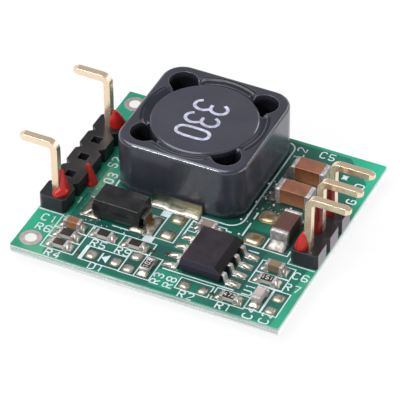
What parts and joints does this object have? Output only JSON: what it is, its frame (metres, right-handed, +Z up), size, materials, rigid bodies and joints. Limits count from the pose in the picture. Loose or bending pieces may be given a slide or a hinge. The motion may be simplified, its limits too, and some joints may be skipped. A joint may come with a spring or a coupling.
{
  "type": "dc-dc converter",
  "caption": "Small step-down converter board with a square shielded inductor, control chip, diode, chip capacitors and resistors, and header pins bent outwards along both sides.",
  "frame": {"origin": "under the middle of the part, level with the ends of the pin tails", "axes": "+X along the board's front edge towards the row with three pins, +Y from front to back, +Z up"},
  "size_m": [0.03, 0.0234, 0.0086],
  "materials": {
    "solder_mask": "glossy green solder mask",
    "tin": "matte tinned metal",
    "solder": "bright solder",
    "ferrite": "dark satin ferrite",
    "glue": "glossy black glue",
    "copper": "enamelled copper wire",
    "header_plastic": "black satin plastic",
    "gold": "pale gold plating",
    "lacquer": "glossy red lacquer",
    "mould_compound": "black moulding compound",
    "brown_ceramic": "brown fired ceramic",
    "dark_ceramic": "dark brown fired ceramic",
    "pale_ceramic": "pale fired ceramic",
    "white_ceramic": "white fired ceramic",
    "resistor_coat": "black glassy coat"
  },
  "bodies": {
    "root": {"board": "solder_mask", "corner_hole_front": "tin", "corner_hole_back": "tin", "row_plating": "tin", "part_pads": "tin", "chip_pads": "tin", "bare_pads": "solder", "inductor_ring": "ferrite", "inductor_core": "ferrite", "inductor_winding": "copper", "core_glue": "glue", "terminal_front": "tin", "terminal_back": "tin", "terminal_joint": "solder", "header_left": "header_plastic", "header_right": "header_plastic", "pin_left_near": "gold", "pin_left_far": "gold", "pin_right_near": "gold", "pin_right_mid": "gold", "pin_right_far": "gold", "pin_joints": "solder", "lacquer_left_near": "lacquer", "lacquer_left_far": "lacquer", "lacquer_left_run": "lacquer", "lacquer_right_near": "lacquer", "lacquer_right_mid": "lacquer", "lacquer_right_far": "lacquer", "diode_body": "mould_compound", "diode_leads": "tin", "diode_joints": "solder", "control_chip": "mould_compound", "control_chip_leads": "tin", "control_chip_joints": "solder", "capacitor_far": "brown_ceramic", "capacitor_far_ends": "tin", "capacitor_near": "brown_ceramic", "capacitor_near_ends": "tin", "capacitor_side": "dark_ceramic", "capacitor_side_ends": "tin", "capacitor_joints": "solder", "small_cap_left": "brown_ceramic", "small_cap_left_ends": "tin", "small_cap_right": "brown_ceramic", "small_cap_right_ends": "tin", "small_cap_upright": "pale_ceramic", "small_cap_upright_ends": "tin", "small_cap_inner": "pale_ceramic", "small_cap_inner_ends": "tin", "resistor_bodies": "white_ceramic", "resistor_coats": "resistor_coat", "resistor_ends": "tin", "chip_joints": "solder"}
  },
  "joints": []
}
